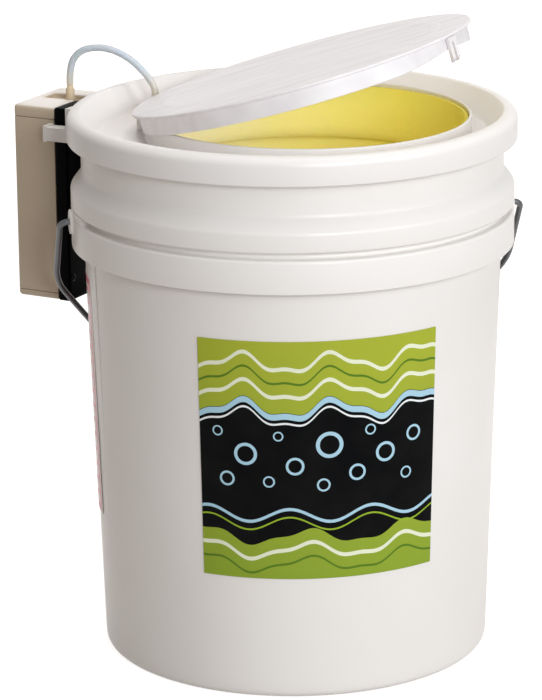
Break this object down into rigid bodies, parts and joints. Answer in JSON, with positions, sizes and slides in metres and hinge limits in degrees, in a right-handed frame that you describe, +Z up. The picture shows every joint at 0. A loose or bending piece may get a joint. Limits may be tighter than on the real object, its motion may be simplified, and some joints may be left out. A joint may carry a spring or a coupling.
{
  "type": "aerated bait cooler",
  "caption": "Foam-lined pail with a snap lid, a hinged round hatch, a wire bail and a battery air pump hung on its side.",
  "frame": {"origin": "centre of the pail's flat base, on the surface it stands on", "axes": "+Z up along the pail, X through the two ears, -Y towards the front label"},
  "size_m": [0.3462, 0.3219, 0.4432],
  "materials": {
    "pail_white": "satin polyethylene",
    "lid_white": "satin polyethylene",
    "label_print": "printed film, black with green and white",
    "side_print": "printed film, red frame",
    "foam": "poured foam",
    "rubber_seal": "matt",
    "wire_steel": "galvanised wire",
    "small_steel": "plated",
    "grip_white": "satin",
    "case_beige": "satin moulded",
    "cover_black": "satin moulded",
    "ivory": "satin moulded",
    "hose_clear": "translucent vinyl",
    "stone_grey": "sintered, rough",
    "cell_jacket": "plain jacket"
  },
  "bodies": {
    "pail": {"pail_shell": "pail_white", "front_label": "label_print", "side_label": "side_print", "foam_floor": "foam", "foam_wall": "foam"},
    "lid": {"lid_ring": "lid_white", "lid_gasket": "rubber_seal", "lid_foam": "foam", "lid_fitting": "ivory", "hinge_pin": "wire_steel", "pump_bracket": "lid_white", "bracket_screw_near": "small_steel", "bracket_screw_far": "small_steel", "pump_clip": "small_steel", "pump_case": "case_beige", "pump_top_cap": "case_beige", "pump_bottom_cap": "case_beige", "pump_back_cover": "cover_black", "cover_screw_1": "small_steel", "cover_screw_2": "small_steel", "cover_screw_3": "small_steel", "cover_screw_4": "small_steel", "hose_nipple": "ivory", "switch_plate": "small_steel", "battery_lower": "cell_jacket", "battery_upper": "cell_jacket", "contact_bottom": "small_steel", "contact_top": "small_steel", "motor_can": "small_steel", "pump_chassis": "cover_black", "diaphragm": "rubber_seal", "valve_block": "cover_black", "pump_tube": "hose_clear", "air_hose_outer": "hose_clear", "air_hose_inner": "hose_clear", "air_stone": "stone_grey"},
    "hatch": {"hatch_door": "lid_white", "hatch_foam": "foam", "hatch_latch": "lid_white"},
    "bail": {"bail_wire": "wire_steel"},
    "grip": {"bail_grip": "grip_white"},
    "switch": {"switch_knob": "cover_black"},
    "rotor": {"motor_rotor": "small_steel"},
    "rocker": {"rocker_lever": "ivory"}
  },
  "joints": [
    {"name": "lid_lift", "type": "slide", "parent": "pail", "child": "lid", "axis": [0, 0, 1], "range_m": [0, 0.36]},
    {"name": "hatch_hinge", "type": "hinge", "parent": "lid", "child": "hatch", "pos_m": [-0.09279, 0.04426, 0.374], "axis": [-0.4305, -0.9026, 0], "range_deg": [-15.9, 70]},
    {"name": "bail_swing", "type": "hinge", "parent": "pail", "child": "bail", "pos_m": [0, 0, 0.307], "axis": [1, 0, 0], "range_deg": [0, 5.5]},
    {"name": "grip_spin", "type": "hinge", "parent": "bail", "child": "grip", "pos_m": [0, 0.15494, 0.11593], "axis": [1, 0, 0], "continuous": true},
    {"name": "switch_slide", "type": "slide", "parent": "lid", "child": "switch", "axis": [-0.6018, -0.7986, 0], "range_m": [0, 0.004]},
    {"name": "motor_spin", "type": "hinge", "parent": "lid", "child": "rotor", "pos_m": [-0.13819, 0.12717, 0.263], "axis": [0, 0, 1], "continuous": true},
    {"name": "rocker_rock", "type": "hinge", "parent": "lid", "child": "rocker", "pos_m": [-0.12701, 0.11875, 0.2686], "axis": [0, 0, 1], "range_deg": [-3, 3]}
  ]
}
